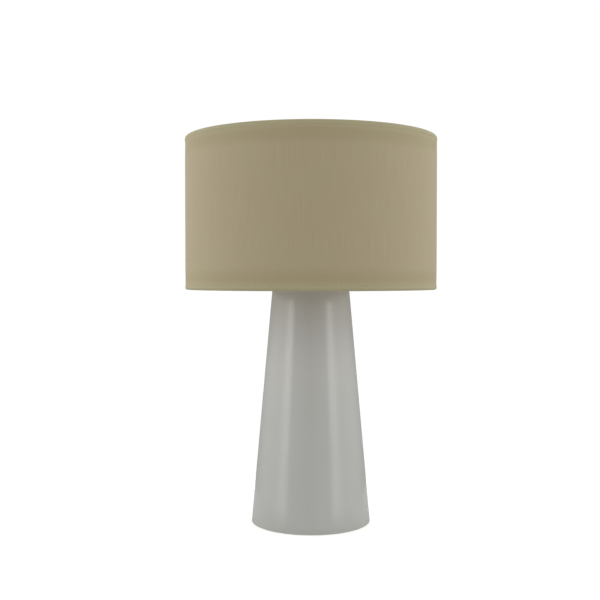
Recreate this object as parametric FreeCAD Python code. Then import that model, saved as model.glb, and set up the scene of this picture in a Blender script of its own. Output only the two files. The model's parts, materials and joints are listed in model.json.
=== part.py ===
import FreeCAD, Part

import math
import os

from FreeCAD import Vector

# Table lamp: a glazed ceramic cone, a rotary-switch lampholder, a wire harp, a fabric drum
# shade on a spider, and a bulb.
# Frame: millimetres, +Z up, origin at the centre of the face that rests on the table. The
# switch knob points to -Y, the cord outlet to +Y, and the harp stands in the XZ plane.

# Driving dimensions
SHADE_RADIUS = 200.0
SHADE_HEIGHT = 240.0
SHADE_BOTTOM = 372.5
BASE_RADIUS = 95.0  # of the ceramic's foot
BASE_TAPER = 0.0896  # radius lost per millimetre of height
BASE_TOP = 384.0
CERAMIC_WALL = 7.0
BULB_RADIUS = 30.0
BULB_LENGTH = 108.0
HARP_WIDTH = 112.0
SPIDER_DROP = 11.5  # from the shade's top edge down to the harp's shoulder

# The foot
FOOT = 0.8  # the ceramic stands clear of the table on its felt
FELT = 3.0
FELT_RADIUS = 89.5
FELT_SEAT_RADIUS = 90.0
FOOT_BORE = 84.0  # radius of the ceramic's hollow below the plate
PLATE = 1.5
PLATE_RADIUS = 83.0
LEDGE = 37.0  # height of the ceramic's ledge, which the plate bears up against
LEDGE_RADIUS = 76.0
DISH_DROP = 5.0
DISH_RADIUS = 26.0
DISH_RAMP = 8.0

# The tube that clamps the lamp together: a 10 mm lamp tube, which carries the cord
TUBE_RADIUS = 4.85
TUBE_BORE = 3.2
TUBE_HOLE = 5.05  # in everything that is threaded on it
CERAMIC_HOLE = 6.5
NUT_FLATS = 15.0
NUT = 4.5
WASHER = 1.4
WASHER_RADIUS = 12.0
DISH_BOTTOM = LEDGE - PLATE - DISH_DROP
TUBE_BOTTOM = DISH_BOTTOM - WASHER - NUT - 2.0

# The stack on top of the ceramic
GASKET = 1.0
CAP_HEIGHT = 7.0
CAP_RADIUS = 27.0
NECK_HEIGHT = 14.0
SADDLE = 1.2
CAP_BOTTOM = BASE_TOP + GASKET
NECK_BOTTOM = CAP_BOTTOM + CAP_HEIGHT
NECK_NUT_BOTTOM = NECK_BOTTOM + NECK_HEIGHT
SADDLE_BOTTOM = NECK_NUT_BOTTOM + NUT
SOCKET_BOTTOM = SADDLE_BOTTOM + SADDLE
TUBE_TOP = SOCKET_BOTTOM + 7.0

# The cord outlet
CORD_RADIUS = 3.7  # of the bushing's bore
OUTLET_HEIGHT = 15.0
OUTLET_HOLE = 6.3
BUSHING_RADIUS = 6.1
BUSHING_FLANGE = 9.0

# The lampholder
SHELL_RADIUS = 16.2
SHELL = 0.7
SHELL_BOTTOM = SOCKET_BOTTOM + 15.0
SHELL_TOP = SOCKET_BOTTOM + 66.0
HOLDER_CAP_TOP = SOCKET_BOTTOM + 18.0
HUB_RADIUS = 8.0
LINER = 0.5
LINER_RADIUS = SHELL_RADIUS - SHELL - 0.1
BODY_RADIUS = LINER_RADIUS - LINER - 0.2
BODY_BOTTOM = SHELL_BOTTOM + 2.0
SWITCH_HEIGHT = SOCKET_BOTTOM + 30.0
BODY_TOP = SWITCH_HEIGHT + 9.0
SCREW_SHELL_TOP = SHELL_TOP - 1.5
THREAD_PITCH = 3.63
THREAD_DEPTH = 0.5
SCREW_SHELL_RADIUS = 13.1  # to the crests inside
SCREW_SHELL = 0.4
CONTACT_TOP = BODY_TOP + 4.2

# The switch
SHAFT_RADIUS = 2.2
SHAFT_HOLE = 2.7
ROTOR_RADIUS = 5.0
ROTOR_CAVITY = 5.5
ROTOR_BACK = 4.0
ROTOR_FRONT = -10.5
SHAFT_END = -41.0
KNOB_BACK = -33.0
KNOB_FRONT = -46.0
KNOB_WIDTH = 16.0
KNOB_THICKNESS = 7.0

# The bulb
BULB_TIP = CONTACT_TOP + 0.4
TIP_RADIUS = 4.8
TIP_TOP = BULB_TIP + 2.2
TURNING_GAP = 0.1  # between two pieces that turn on each other
BULB_TOP = BULB_TIP + BULB_LENGTH
GLOBE_CENTRE = BULB_TOP - BULB_RADIUS
GLOBE_DROP = 11.8  # the globe ends this far below its centre
GLOBE_RIM = math.sqrt(BULB_RADIUS**2 - GLOBE_DROP**2)
GLOBE_BOTTOM = GLOBE_CENTRE - GLOBE_DROP
BULB_SLOPE = GLOBE_DROP / GLOBE_RIM  # the housing runs on from the globe in its tangent
BULB_WALL = 1.6
BULB_THREAD_RADIUS = 12.7  # to the crests
BULB_COLLAR = 13.3
CAP_LOW = BULB_TIP + 6.0
CAP_HIGH = BULB_TIP + 27.0
NECK_OF_BULB = 15.2
BOARD_RADIUS = GLOBE_RIM - BULB_WALL - 0.3
BOARD_BOTTOM = GLOBE_BOTTOM - 1.0
BOARD = 1.6

# The harp
WIRE_RADIUS = 1.6
HARP_FOOT = 37.0  # half the distance between its feet, wide enough to pass the bulb
HARP_TOP = SHADE_BOTTOM + SHADE_HEIGHT - SPIDER_DROP
HARP_WIRE_TOP = HARP_TOP - 4.0
HARP_SHOULDER = 30.0  # radius of the loop's two upper bends
CROWN_RADIUS = 6.5
STUD_RADIUS = 3.1
STUD_LENGTH = 13.0
SADDLE_WIDTH = 13.0
SADDLE_SHOULDER = SADDLE_BOTTOM + 11.0
PIN_TOP = SADDLE_SHOULDER + 6.0
HARP_BOTTOM = PIN_TOP + 0.4
FERRULE_LENGTH = 14.0
FERRULE_RADIUS = 3.2
FERRULE_BORE = 1.9

# The shade
FABRIC = 0.8
LINER_SHEET = 0.8
SHADE_TOP = SHADE_BOTTOM + SHADE_HEIGHT
HEM = 7.0  # height of the hem's outer side
HEM_INNER = 9.0
LINER_OUTER = SHADE_RADIUS - FABRIC
LINER_INNER = LINER_OUTER - LINER_SHEET
RING_WIRE = 1.6
RING_RADIUS = LINER_INNER - RING_WIRE - 0.1
RING_INSET = FABRIC + RING_WIRE + 0.2  # from the shade's edge to the ring's centre
HEM_INSIDE = RING_RADIUS - RING_WIRE - 0.2
ARM_ANGLES = (90.0, 210.0, 330.0)
SPIDER_WASHER = 1.6
SPIDER_WASHER_RADIUS = 14.0
SPIDER_HOLE = 3.5
SPIDER_BOTTOM = HARP_TOP + 0.1

# The finial
FINIAL_WASHER = 0.7
FINIAL_WASHER_BOTTOM = SPIDER_BOTTOM + SPIDER_WASHER + 0.2
FINIAL_BOTTOM = FINIAL_WASHER_BOTTOM + FINIAL_WASHER + TURNING_GAP
FINIAL_BALL = 8.5

UP = Vector(0, 0, 1)
ORIGIN = Vector(0, 0, 0)


def base_radius(height):
    """Outer radius of the ceramic cone at a height."""
    return BASE_RADIUS - BASE_TAPER * (height - FOOT)


# Helpers


def rounded_wire(corners, closed):
    """A wire along straight runs between corners, each (point, radius) rounded by an arc."""
    count = len(corners)
    starts, ends, arcs = [], [], []
    for i, (point, radius) in enumerate(corners):
        at_end = not closed and i in (0, count - 1)
        if radius == 0 or at_end:
            starts.append(point)
            ends.append(point)
            continue
        back = (corners[i - 1][0] - point).normalize()
        on = (corners[(i + 1) % count][0] - point).normalize()
        half = back.getAngle(on) / 2
        setback = radius / math.tan(half)
        middle = (back + on).normalize()
        crown = point + middle * (radius / math.sin(half) - radius)
        starts.append(point + back * setback)
        ends.append(point + on * setback)
        arcs.append((i, Part.Arc(starts[-1], crown, ends[-1]).toShape()))
    arcs = dict(arcs)
    edges = []
    for i in range(count):
        if i in arcs:
            edges.append(arcs[i])
        following = (i + 1) % count
        run_ends_here = not closed and i == count - 1
        if not run_ends_here and (starts[following] - ends[i]).Length > 1e-6:
            edges.append(Part.LineSegment(ends[i], starts[following]).toShape())
    return Part.Wire(edges)


def lathe(outline):
    """A solid of revolution about Z, from a closed outline of (radius, height[, rounding])."""
    corners = [(Vector(p[0], 0, p[1]), p[2] if len(p) > 2 else 0) for p in outline]
    face = Part.Face(rounded_wire(corners, closed=True))
    return face.revolve(ORIGIN, UP, 360)


def tube(outer, inner, low, high):
    """A plain upright tube or washer."""
    return lathe([(inner, low), (outer, low), (outer, high), (inner, high)])


def rod(radius, start, end):
    """A round rod from one point to another."""
    return Part.makeCylinder(radius, (end - start).Length, start, end - start)


def sweep(radius, corners):
    """A round wire along rounded corners."""
    path = rounded_wire(corners, closed=False)
    first = path.Edges[0]
    start = first.valueAt(first.FirstParameter)
    along = first.tangentAt(first.FirstParameter)
    section = Part.Wire(Part.makeCircle(radius, start, along))
    return path.makePipeShell([section], True, False)


def hex_nut(low, high):
    """A nut on the lamp tube."""
    across_corners = NUT_FLATS / math.cos(math.pi / 6)
    corners = [
        Vector(math.cos(k * math.pi / 3), math.sin(k * math.pi / 3), 0) * (across_corners / 2)
        for k in range(6)
    ]
    prism = Part.Face(Part.makePolygon(corners + corners[:1])).extrude(UP * (high - low))
    prism.translate(UP * low)
    chamfer = 0.8
    blank = lathe(
        [
            (TUBE_HOLE, low),
            (NUT_FLATS / 2, low),
            (across_corners / 2, low + chamfer),
            (across_corners / 2, high - chamfer),
            (NUT_FLATS / 2, high),
            (TUBE_HOLE, high),
        ]
    )
    return prism.common(blank)


def thread(crest, low, high, sign):
    """Points of an upright outline with round thread rings from low to high.

    The rings stand in for the helix. With sign -1 the grooves are cut into a shaft whose
    crests lie at that radius, and with +1 into a bore.
    """
    rings = int((high - low) / THREAD_PITCH)
    first = low + (high - low - rings * THREAD_PITCH) / 2
    points = []
    for k in range(rings):
        z = first + k * THREAD_PITCH
        rounding = THREAD_PITCH / 5
        points.append((crest, z, rounding))
        points.append((crest + sign * THREAD_DEPTH * 2, z + THREAD_PITCH / 2, rounding))
    points.append((crest, first + rings * THREAD_PITCH, THREAD_PITCH / 5))
    return points


def turned(shape, degrees):
    """A copy turned about Z."""
    copy = shape.copy()
    copy.rotate(ORIGIN, UP, degrees)
    return copy


# The base


def felt_pad():
    """The disc of felt that closes the hollow and that the lamp rests on."""
    return rod(FELT_RADIUS, ORIGIN, UP * FELT)


def bottom_plate():
    """The stamped plate that the tube pulls up against the ledge, dished down in the middle."""
    ramp = DISH_RADIUS + DISH_RAMP
    half = PLATE / 2
    return lathe(
        [
            (TUBE_HOLE, DISH_BOTTOM),
            (DISH_RADIUS + half, DISH_BOTTOM, 4.5),
            (ramp + half, LEDGE - PLATE, 3.0),
            (PLATE_RADIUS, LEDGE - PLATE),
            (PLATE_RADIUS, LEDGE),
            (ramp - half, LEDGE, 4.5),
            (DISH_RADIUS - half, DISH_BOTTOM + PLATE, 3.0),
            (TUBE_HOLE, DISH_BOTTOM + PLATE),
        ]
    )


def bottom_washer():
    return tube(WASHER_RADIUS, TUBE_HOLE, DISH_BOTTOM - WASHER, DISH_BOTTOM)


def bottom_nut():
    return hex_nut(DISH_BOTTOM - WASHER - NUT, DISH_BOTTOM - WASHER)


def lamp_tube():
    """The threaded tube from the bottom nut up into the lampholder's cap."""
    chamfer = 0.6
    return lathe(
        [
            (TUBE_BORE, TUBE_BOTTOM),
            (TUBE_RADIUS - chamfer, TUBE_BOTTOM),
            (TUBE_RADIUS, TUBE_BOTTOM + chamfer),
            (TUBE_RADIUS, TUBE_TOP - chamfer),
            (TUBE_RADIUS - chamfer, TUBE_TOP),
            (TUBE_BORE, TUBE_TOP),
        ]
    )


def outlet():
    """A point on the cone's outside at the cord outlet, and the outward normal there."""
    point = Vector(0, base_radius(OUTLET_HEIGHT), OUTLET_HEIGHT)
    return point, Vector(0, 1, BASE_TAPER).normalize()


def ceramic_body():
    """The glazed cone: closed on top, hollow, with a ledge inside for the bottom plate."""
    ceiling = BASE_TOP - CERAMIC_WALL - 1.0
    ledge_top = LEDGE + 5.0
    wall_foot = ledge_top + 12.0
    cone = lathe(
        [
            (BASE_RADIUS, FOOT, 0.8),
            (base_radius(BASE_TOP), BASE_TOP, 5.0),
            (CERAMIC_HOLE, BASE_TOP, 0.8),
            (CERAMIC_HOLE, ceiling),
            (base_radius(ceiling) - CERAMIC_WALL, ceiling, 6.0),
            (base_radius(wall_foot) - CERAMIC_WALL, wall_foot, 6.0),
            (LEDGE_RADIUS, ledge_top, 2.0),
            (LEDGE_RADIUS, LEDGE, 0.8),
            (FOOT_BORE, LEDGE),
            (FOOT_BORE, FELT),
            (FELT_SEAT_RADIUS, FELT),
            (FELT_SEAT_RADIUS, FOOT, 0.8),
        ]
    )
    point, normal = outlet()
    return cone.cut(rod(OUTLET_HOLE, point - normal * 20, point + normal * 10))


def cord_bushing(ceramic):
    """The plastic bushing that lines the cord outlet, flanged outside, with a lip inside."""
    point, normal = outlet()
    wall = base_radius(OUTLET_HEIGHT) - FOOT_BORE
    lip = 1.8
    lip_start = point - normal * (wall + 0.8)
    lip_end = lip_start - normal * lip
    flange = rod(BUSHING_FLANGE, point - normal * 1.5, point + normal * 1.6)
    rim = [edge for edge in flange.Edges if edge.CenterOfMass.y > point.y + 1.4]
    flange = flange.makeFillet(0.9, rim[:1])
    sleeve = rod(BUSHING_RADIUS, lip_start, point + normal * 1.0)
    snap = Part.makeCone(BUSHING_RADIUS + 0.8, BUSHING_RADIUS - 0.6, lip, lip_start, lip_end - lip_start)
    body = flange.cut(ceramic).fuse([sleeve, snap]).removeSplitter()
    return body.cut(rod(CORD_RADIUS, point - normal * 20, point + normal * 10))


# The stack on top of the ceramic


def top_gasket():
    return tube(CAP_RADIUS - 0.5, CAP_RADIUS - 9.0, BASE_TOP, CAP_BOTTOM)


def vase_cap():
    """The shallow metal dome that covers the hole in the ceramic."""
    sheet = 1.2
    return lathe(
        [
            (CAP_RADIUS, CAP_BOTTOM, 0.5),
            (CAP_RADIUS, CAP_BOTTOM + 2.4, 1.0),
            (CAP_RADIUS - 6.0, CAP_BOTTOM + 5.2, 8.0),
            (CAP_RADIUS - 15.0, NECK_BOTTOM, 6.0),
            (TUBE_HOLE, NECK_BOTTOM),
            (TUBE_HOLE, NECK_BOTTOM - sheet),
            (CAP_RADIUS - 15.0, NECK_BOTTOM - sheet, 6.0),
            (CAP_RADIUS - 7.0, CAP_BOTTOM + 4.0, 6.0),
            (CAP_RADIUS - 1.4, CAP_BOTTOM + 1.4, 0.4),
            (CAP_RADIUS - 1.4, CAP_BOTTOM),
        ]
    )


def neck():
    """The turned spacer between the cap and the lampholder."""
    flare = 9.0
    waist = 6.6
    rim = 2.2
    top = NECK_NUT_BOTTOM
    return lathe(
        [
            (TUBE_HOLE, NECK_BOTTOM),
            (flare, NECK_BOTTOM, 0.6),
            (flare, NECK_BOTTOM + rim, 0.6),
            (waist, NECK_BOTTOM + 2 * rim, 3.0),
            (waist, top - 2 * rim, 3.0),
            (flare, top - rim, 0.6),
            (flare, top, 0.6),
            (TUBE_HOLE, top),
        ]
    )


def neck_nut():
    return hex_nut(NECK_NUT_BOTTOM, SADDLE_BOTTOM)


def harp_saddle():
    """The strip clamped under the lampholder, bent up into two pins that carry the harp."""
    reach = HARP_FOOT + SADDLE / 2
    bend = 3.0
    inner_bend = bend - SADDLE
    low, floor, high = SADDLE_BOTTOM, SADDLE_BOTTOM + SADDLE, SADDLE_SHOULDER
    side = [
        (Vector(-reach, 0, high), 0),
        (Vector(-reach, 0, low), bend),
        (Vector(reach, 0, low), bend),
        (Vector(reach, 0, high), 0),
        (Vector(reach - SADDLE, 0, high), 0),
        (Vector(reach - SADDLE, 0, floor), inner_bend),
        (Vector(-reach + SADDLE, 0, floor), inner_bend),
        (Vector(-reach + SADDLE, 0, high), 0),
    ]
    strip = Part.Face(rounded_wire(side, closed=True)).extrude(Vector(0, SADDLE_WIDTH, 0))
    strip.translate(Vector(0, -SADDLE_WIDTH / 2, 0))
    plan = Part.makeBox(4 * reach, SADDLE_WIDTH, 60, Vector(-2 * reach, -SADDLE_WIDTH / 2, low - 5))
    # the ends taper to the width of the pins
    taper = 3.2
    for side_sign in (-1, 1):
        for edge_sign in (-1, 1):
            corners = [
                Vector(side_sign * (reach - 14), edge_sign * SADDLE_WIDTH / 2, low - 5),
                Vector(side_sign * (reach - 4), edge_sign * taper, low - 5),
                Vector(side_sign * 2 * reach, edge_sign * taper, low - 5),
                Vector(side_sign * 2 * reach, edge_sign * SADDLE_WIDTH, low - 5),
                Vector(side_sign * (reach - 14), edge_sign * SADDLE_WIDTH, low - 5),
            ]
            wedge = Part.Face(Part.makePolygon(corners + corners[:1])).extrude(UP * 70)
            plan = plan.cut(wedge)
    strip = strip.common(plan)
    pins = [
        rod(WIRE_RADIUS, Vector(x, 0, SADDLE_SHOULDER - 3), Vector(x, 0, PIN_TOP))
        for x in (-HARP_FOOT, HARP_FOOT)
    ]
    hole = rod(TUBE_HOLE, Vector(0, 0, low - 1), Vector(0, 0, floor + 1))
    return strip.fuse(pins).cut(hole).removeSplitter()


# The lampholder


def switch_hole(radius):
    """The hole along -Y for the switch shaft, open downwards as a slot."""
    start = Vector(0, -8, SWITCH_HEIGHT)
    hole = rod(radius, start, start + Vector(0, -20, 0))
    slot = Part.makeBox(2 * radius, 20, 40, Vector(-radius, -28, SWITCH_HEIGHT - 40))
    return hole.fuse(slot)


def socket_cap():
    """The lampholder's lower cap, with the hub that screws on the lamp tube."""
    wall = 0.9
    rim = SHELL_RADIUS + 0.1 + wall
    hub_top = SOCKET_BOTTOM + 9.0
    cap = lathe(
        [
            (TUBE_HOLE, SOCKET_BOTTOM),
            (HUB_RADIUS, SOCKET_BOTTOM, 1.0),
            (rim, SOCKET_BOTTOM + 11.0, 9.0),
            (rim, HOLDER_CAP_TOP - 0.8),
            (rim - wall, HOLDER_CAP_TOP),
            (rim - wall, SOCKET_BOTTOM + 11.6, 8.5),
            (HUB_RADIUS, SOCKET_BOTTOM + 2.4, 0.5),
            (HUB_RADIUS, hub_top),
            (TUBE_HOLE, hub_top),
        ]
    )
    return cap.cut(set_screw_hole(1.6))


def set_screw_hole(radius):
    """The radial hole in the cap's hub, at the back right."""
    direction = Vector(1, 1, 0).normalize()
    height = UP * (SOCKET_BOTTOM + 3.4)
    return rod(radius, direction * (TUBE_RADIUS + 0.1) + height, direction * 20 + height)


def socket_set_screw():
    """The screw that stops the lampholder turning on the tube, with a slotted head."""
    direction = Vector(1, 1, 0).normalize()
    across = Vector(-1, 1, 0).normalize()
    height = UP * (SOCKET_BOTTOM + 3.4)
    head_start = direction * 13.5
    shank = rod(1.5, direction * (TUBE_RADIUS + 0.2) + height, head_start + height)
    head = rod(2.9, head_start + height, head_start + direction * 2.2 + height)
    slot_corner = head_start + direction * 1.2 + height - across * 4 - UP * 0.4
    slot = Part.makeBox(2, 8, 0.8)
    slot.rotate(ORIGIN, UP, 45)
    slot.translate(slot_corner)
    return shank.fuse(head).removeSplitter().cut(slot)


def socket_shell():
    """The lampholder's outer shell, with a beaded mouth and a slot for the switch shaft."""
    inner = SHELL_RADIUS - SHELL
    bead = 0.8
    shell = lathe(
        [
            (inner, SHELL_BOTTOM),
            (SHELL_RADIUS, SHELL_BOTTOM),
            (SHELL_RADIUS, SHELL_TOP - 6.0),
            (SHELL_RADIUS + bead, SHELL_TOP - 5.0, 0.6),
            (SHELL_RADIUS, SHELL_TOP - 4.0),
            (SHELL_RADIUS, SHELL_TOP),
            (inner, SHELL_TOP),
        ]
    )
    return shell.cut(switch_hole(SHAFT_HOLE))


def socket_insulator():
    """The insulating sleeve inside the shell."""
    sleeve = tube(LINER_RADIUS, LINER_RADIUS - LINER, SHELL_BOTTOM + 1.0, SHELL_TOP - 0.5)
    return sleeve.cut(switch_hole(SHAFT_HOLE + 0.3))


def terminal_place(side):
    """The point where a terminal screw's axis leaves the moulded body, and its direction."""
    outward = Vector(side, 0.55, 0).normalize()
    return outward * (BODY_RADIUS - 2.2) + UP * (BODY_BOTTOM + 5.5), outward


def socket_body():
    """The moulded body with the switch chamber, and seats for the terminals."""
    block = lathe(
        [
            (0, BODY_BOTTOM),
            (BODY_RADIUS, BODY_BOTTOM, 1.0),
            (BODY_RADIUS, BODY_TOP),
            (0, BODY_TOP),
        ]
    )
    chamber = rod(
        ROTOR_CAVITY,
        Vector(0, ROTOR_FRONT - 0.5, SWITCH_HEIGHT),
        Vector(0, ROTOR_BACK + 0.5, SWITCH_HEIGHT),
    )
    passage = rod(SHAFT_HOLE, Vector(0, 0, SWITCH_HEIGHT), Vector(0, -20, SWITCH_HEIGHT))
    block = block.cut([chamber, passage])
    for side in (-1, 1):
        seat, outward = terminal_place(side)
        block = block.cut(rod(4.2, seat, seat + outward * 8))
        block = block.cut(rod(1.3, seat - outward * 6, seat))
    return block


def terminal_screws():
    """Two binding-head screws, one for each conductor."""
    screws = []
    for side in (-1, 1):
        seat, outward = terminal_place(side)
        shank = rod(1.2, seat - outward * 5, seat + outward * 0.4)
        head = rod(3.6, seat + outward * 0.2, seat + outward * 1.8)
        screws.append(shank.fuse(head).removeSplitter())
    return Part.makeCompound(screws)


def screw_shell():
    """The threaded shell that takes the bulb, with a flange on the moulded body."""
    low = BODY_TOP + 2.0
    inner = thread(SCREW_SHELL_RADIUS, low, SCREW_SHELL_TOP, 1)
    outer = [(r + SCREW_SHELL, z, f) for r, z, f in reversed(inner)]
    flange = 0.8
    return lathe(
        inner
        + [(SCREW_SHELL_RADIUS, SCREW_SHELL_TOP), (SCREW_SHELL_RADIUS + SCREW_SHELL, SCREW_SHELL_TOP)]
        + outer
        + [
            (SCREW_SHELL_RADIUS + SCREW_SHELL, BODY_TOP),
            (SCREW_SHELL_RADIUS - 4.0, BODY_TOP),
            (SCREW_SHELL_RADIUS - 4.0, BODY_TOP + flange),
            (SCREW_SHELL_RADIUS, BODY_TOP + flange),
        ]
    )


def centre_contact():
    """The sprung strip that meets the bulb's tip."""
    half = 2.5
    sheet = 0.5
    side = [
        (Vector(-7, 0, BODY_TOP), 0),
        (Vector(-2, 0, BODY_TOP), 1.5),
        (Vector(1.0, 0, CONTACT_TOP - sheet), 1.5),
        (Vector(4.5, 0, CONTACT_TOP - sheet), 0),
        (Vector(4.5, 0, CONTACT_TOP), 0),
        (Vector(0.7, 0, CONTACT_TOP), 1.5),
        (Vector(-2.3, 0, BODY_TOP + sheet), 1.5),
        (Vector(-7, 0, BODY_TOP + sheet), 0),
    ]
    strip = Part.Face(rounded_wire(side, closed=True)).extrude(Vector(0, 2 * half, 0))
    strip.translate(Vector(0, -half, 0))
    return strip


# The switch


def switch_rotor():
    """The cam inside the lampholder, with a flat on each side for the contacts."""
    body = rod(
        ROTOR_RADIUS, Vector(0, ROTOR_BACK, SWITCH_HEIGHT), Vector(0, ROTOR_FRONT, SWITCH_HEIGHT)
    )
    for side in (-1, 1):
        flat = Part.makeBox(12, 6, 3, Vector(-6, -4, SWITCH_HEIGHT - 1.5 + side * 5.3))
        body = body.cut(flat)
    return body


def switch_shaft():
    return rod(SHAFT_RADIUS, Vector(0, ROTOR_FRONT, SWITCH_HEIGHT), Vector(0, SHAFT_END, SWITCH_HEIGHT))


def switch_knob():
    """The flat oval key that the fingers turn."""
    corner = Vector(-KNOB_WIDTH / 2, KNOB_FRONT, SWITCH_HEIGHT - KNOB_THICKNESS / 2)
    block = Part.makeBox(KNOB_WIDTH, KNOB_BACK - KNOB_FRONT, KNOB_THICKNESS, corner)
    upright = [
        e
        for e in block.Edges
        if abs(e.tangentAt(e.FirstParameter).y) > 0.9
    ]
    block = block.makeFillet(3.2, upright)
    front = [e for e in block.Edges if e.CenterOfMass.y < KNOB_FRONT + 0.01]
    block = block.makeFillet(1.4, front)
    collar = rod(3.8, Vector(0, KNOB_BACK + 3.0, SWITCH_HEIGHT), Vector(0, KNOB_FRONT + 6, SWITCH_HEIGHT))
    return block.fuse(collar).removeSplitter().cut(switch_shaft())


# The bulb


def bulb_tip_contact():
    return lathe(
        [
            (0, BULB_TIP),
            (3.4, BULB_TIP, 2.0),
            (TIP_RADIUS, BULB_TIP + 1.6, 0.5),
            (TIP_RADIUS, TIP_TOP),
            (0, TIP_TOP),
        ]
    )


def bulb_cap_insulator():
    """The dark ring between the tip and the threaded cap."""
    recess = TIP_RADIUS + TURNING_GAP
    return lathe(
        [
            (0, TIP_TOP + TURNING_GAP),
            (recess, TIP_TOP + TURNING_GAP),
            (recess, BULB_TIP + 1.8),
            (6.0, BULB_TIP + 1.8, 0.8),
            (11.0, CAP_LOW, 1.0),
            (11.0, CAP_LOW + 2.0),
            (0, CAP_LOW + 2.0),
        ]
    )


def bulb_screw_cap():
    """The bulb's threaded cap: a thin cup with thread rings, crimped on the housing."""
    sheet = 0.5
    thread_high = CAP_HIGH - 5.5
    crests = thread(BULB_THREAD_RADIUS, CAP_LOW + 1.2, thread_high, -1)
    return lathe(
        [(11.0, CAP_LOW)]
        + crests
        + [
            (BULB_THREAD_RADIUS, thread_high, 0.3),
            (BULB_COLLAR, CAP_HIGH - 2.0, 0.5),
            (BULB_COLLAR, CAP_HIGH),
            (BULB_COLLAR - sheet, CAP_HIGH),
            (BULB_COLLAR - sheet, CAP_HIGH - 2.0, 0.4),
            (BULB_THREAD_RADIUS - 1.7, thread_high, 0.3),
            (BULB_THREAD_RADIUS - 1.7, CAP_LOW + 2.0),
            (11.0, CAP_LOW + 2.0),
        ]
    )


def bulb_housing():
    """The plastic cone between the cap and the globe, which holds the driver."""
    shoulder = GLOBE_BOTTOM - (GLOBE_RIM - NECK_OF_BULB) / BULB_SLOPE
    wall = BULB_WALL
    collar = BULB_COLLAR - 0.6
    return lathe(
        [
            (collar - wall, CAP_HIGH - 1.5),
            (collar, CAP_HIGH - 1.5),
            (collar, CAP_HIGH + 0.2),
            (BULB_COLLAR + 0.5, CAP_HIGH + 0.2, 0.5),
            (NECK_OF_BULB - 0.6, shoulder - 4.0, 6.0),
            (NECK_OF_BULB, shoulder, 12.0),
            (GLOBE_RIM, GLOBE_BOTTOM),
            (GLOBE_RIM - wall, GLOBE_BOTTOM),
            (GLOBE_RIM - wall, BOARD_BOTTOM),
            (GLOBE_RIM - wall - 1.5, BOARD_BOTTOM),
            (NECK_OF_BULB - wall, shoulder + 1.0, 12.0),
            (collar - wall, CAP_HIGH + 1.5, 2.0),
        ]
    )


def bulb_globe():
    """The opal diffuser, a shell of part of a sphere."""
    outer = Part.makeSphere(BULB_RADIUS, Vector(0, 0, GLOBE_CENTRE))
    inner = Part.makeSphere(BULB_RADIUS - BULB_WALL, Vector(0, 0, GLOBE_CENTRE))
    above = Part.makeBox(100, 100, 100, Vector(-50, -50, GLOBE_BOTTOM))
    return outer.cut(inner).common(above)


def led_board():
    """The aluminium disc that carries the LEDs, on a step inside the housing's rim."""
    return tube(BOARD_RADIUS, 1.5, BOARD_BOTTOM, BOARD_BOTTOM + BOARD)


def led_chips():
    """Eight LEDs in a ring on the board."""
    size = 3.0
    height = 0.8
    chips = []
    for k in range(8):
        corner = Vector(BOARD_RADIUS * 0.62, -size / 2, BOARD_BOTTOM + BOARD)
        chip = Part.makeBox(size, size, height, corner)
        chips.append(turned(chip, 45.0 * k))
    return Part.makeCompound(chips)


def led_driver_board():
    """The upright circuit board in the housing's neck."""
    width = 18.0
    low = CAP_LOW + 5.0
    return Part.makeBox(width, 1.2, BOARD_BOTTOM - low, Vector(-width / 2, -0.6, low))


# The harp


def harp_wire():
    """The wire loop, from foot to foot round the bulb."""
    half = HARP_WIDTH / 2
    corners = [
        (Vector(-HARP_FOOT, 0, HARP_BOTTOM), 0),
        (Vector(-HARP_FOOT, 0, HARP_BOTTOM + 28), 20),
        (Vector(-half, 0, HARP_BOTTOM + 58), 34),
        (Vector(-half, 0, HARP_WIRE_TOP), HARP_SHOULDER),
        (Vector(half, 0, HARP_WIRE_TOP), HARP_SHOULDER),
        (Vector(half, 0, HARP_BOTTOM + 58), 34),
        (Vector(HARP_FOOT, 0, HARP_BOTTOM + 28), 20),
        (Vector(HARP_FOOT, 0, HARP_BOTTOM), 0),
    ]
    return sweep(WIRE_RADIUS, corners)


def harp_crown(wire):
    """The crown crimped on the top of the loop, with the stud for the shade and finial."""
    chamfer = 0.5
    crown = lathe(
        [
            (0, HARP_WIRE_TOP - 3.4),
            (CROWN_RADIUS - 1.5, HARP_WIRE_TOP - 3.4, 0.8),
            (CROWN_RADIUS, HARP_WIRE_TOP - 1.5, 0.8),
            (CROWN_RADIUS, HARP_TOP, 0.4),
            (STUD_RADIUS, HARP_TOP),
            (STUD_RADIUS, HARP_TOP + STUD_LENGTH - chamfer),
            (STUD_RADIUS - chamfer, HARP_TOP + STUD_LENGTH),
            (0, HARP_TOP + STUD_LENGTH),
        ]
    )
    return crown.cut(wire)


def harp_ferrule(side):
    """A sleeve that drops over the joint between a saddle pin and the harp's foot."""
    low = SADDLE_SHOULDER + 0.3
    high = low + FERRULE_LENGTH
    ferrule = lathe(
        [
            (FERRULE_BORE, low),
            (FERRULE_RADIUS, low, 0.5),
            (FERRULE_RADIUS, high, 0.5),
            (FERRULE_BORE, high),
        ]
    )
    ferrule.translate(Vector(side * HARP_FOOT, 0, 0))
    return ferrule


# The shade


def shade_liner():
    """The stiff white sheet, rolled into a drum, that the fabric is laminated to."""
    edge = FABRIC + 0.1
    return tube(LINER_OUTER, LINER_INNER, SHADE_BOTTOM + edge, SHADE_TOP - edge)


def shade_fabric():
    """The outer cloth between the two hems."""
    return tube(SHADE_RADIUS, LINER_OUTER, SHADE_BOTTOM + HEM, SHADE_TOP - HEM)


def shade_ring(height):
    """One of the two wire hoops inside the shade's edges."""
    return Part.makeTorus(RING_RADIUS, RING_WIRE, Vector(0, 0, height))


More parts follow.
